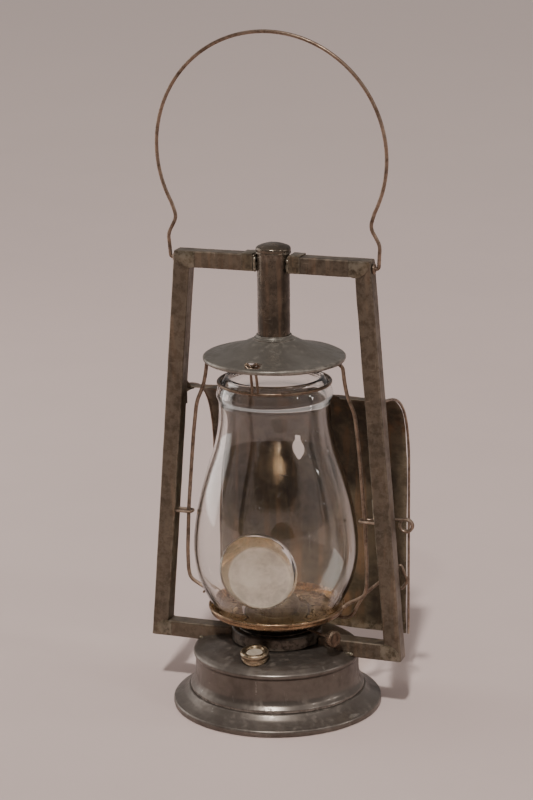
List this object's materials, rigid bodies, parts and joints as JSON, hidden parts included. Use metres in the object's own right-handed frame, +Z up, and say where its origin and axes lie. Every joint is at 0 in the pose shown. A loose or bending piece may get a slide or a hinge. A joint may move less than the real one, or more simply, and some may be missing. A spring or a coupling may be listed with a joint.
{
  "type": "railway inspector lantern",
  "caption": "Oil lantern on a tapered square-tube frame, with a clear bull's-eye globe, a domed fount on a flared foot, a wire bail and a curved tin hood behind.",
  "frame": {"origin": "on the floor under the middle of the foot", "axes": "+Z up, -Y the front that the lens faces, +X the side with the lift lever"},
  "size_m": [0.2037, 0.1599, 0.5061],
  "materials": {
    "japanned_iron": "worn dark japanning over iron with rust streaks",
    "fount_tin": "smooth dull grey-brown tinned iron",
    "canopy_tin": "dull grey tinned iron",
    "rusty_wire": "brown oxidised iron wire",
    "bronze": "dark tarnished bronze",
    "brass": "tarnished brass",
    "hood_tin": "dark olive-brown sooted tin",
    "clear_glass": "clear pressed glass with seeds and scratches",
    "woven_wick": "flat woven cotton",
    "leather": "oiled leather washer"
  },
  "bodies": {
    "lantern_body": {"air_chamber": "japanned_iron", "air_gallery": "japanned_iron", "bail_boss_left": "japanned_iron", "bail_boss_right": "japanned_iron", "burner_body": "brass", "burner_collar": "brass", "burner_dome": "brass", "chimney_cap": "japanned_iron", "chimney_tube": "japanned_iron", "crossbar_left": "japanned_iron", "crossbar_right": "japanned_iron", "crossbar_strap_left": "canopy_tin", "crossbar_strap_right": "canopy_tin", "filler_neck": "brass", "foot_skirt": "fount_tin", "fount_shell": "fount_tin", "guide_staple_left": "rusty_wire", "guide_staple_right": "rusty_wire", "hood_cleat_left": "japanned_iron", "hood_cleat_right": "japanned_iron", "hood_lower_clip": "japanned_iron", "lever_pin": "rusty_wire", "lower_arm_left": "japanned_iron", "lower_arm_right": "japanned_iron", "side_tube_left": "japanned_iron", "side_tube_right": "japanned_iron", "staple_plate_right": "bronze", "tank_bottom": "fount_tin", "wick_tube": "brass"},
    "bail": {"bail": "rusty_wire"},
    "globe_carriage": {"canopy": "canopy_tin", "canopy_edge_wire": "canopy_tin", "canopy_sleeve": "canopy_tin", "globe": "clear_glass", "globe_plate": "bronze", "guard_wire_left": "rusty_wire", "guard_wire_right": "rusty_wire", "plate_hook": "rusty_wire"},
    "retainer": {"globe_retainer": "rusty_wire"},
    "lever": {"lift_lever": "rusty_wire"},
    "hood": {"hood_shell": "hood_tin", "hood_edge_wire_left": "rusty_wire", "hood_edge_wire_right": "rusty_wire"},
    "cap_seal": {"cap_gasket": "leather"},
    "cap": {"filler_cap": "brass"},
    "knob": {"wick_knob": "rusty_wire", "wick_shaft": "rusty_wire"},
    "wick": {"wick": "woven_wick"}
  },
  "joints": [
    {"name": "bail_swing", "type": "hinge", "parent": "lantern_body", "child": "bail", "pos_m": [0, 0, 0.3367], "axis": [1, 0, 0], "range_deg": [-135, 135]},
    {"name": "globe_lift", "type": "slide", "parent": "lantern_body", "child": "globe_carriage", "axis": [0, 0, 1], "range_m": [0, 0.0263]},
    {"name": "lever_press", "type": "hinge", "parent": "lantern_body", "child": "lever", "pos_m": [0.088, 0.009, 0.104], "axis": [0, 1, 0], "range_deg": [0, 30.2]},
    {"name": "retainer_lift", "type": "slide", "parent": "globe_carriage", "child": "retainer", "axis": [0, 0, 1], "range_m": [0, 0.005]},
    {"name": "hood_lift", "type": "slide", "parent": "lantern_body", "child": "hood", "axis": [0, 0, 1], "range_m": [0, 0.02]},
    {"name": "cap_turn", "type": "hinge", "parent": "cap_seal", "child": "cap", "pos_m": [0, -0.0483, 0.0475], "axis": [0, -0.1392, 0.9903], "range_deg": [0, 900]},
    {"name": "cap_rise", "type": "slide", "parent": "lantern_body", "child": "cap_seal", "axis": [0, -0.1392, 0.9903], "range_m": [0, 0.0038]},
    {"name": "knob_turn", "type": "hinge", "parent": "lantern_body", "child": "knob", "pos_m": [0.00216, 0.00406, 0.0616], "axis": [0.8829, -0.4695, 0], "range_deg": [-160, 160]},
    {"name": "wick_rise", "type": "slide", "parent": "lantern_body", "child": "wick", "axis": [0, 0, 1], "range_m": [-0.0079, 0.0079]}
  ],
  "couplings": [
    {"joint": "lever_press", "follows": "globe_lift", "rad_per_m": 19.909},
    {"joint": "cap_rise", "follows": "cap_turn", "m_per_rad": 0.00023873},
    {"joint": "wick_rise", "follows": "knob_turn", "m_per_rad": -0.0028}
  ]
}
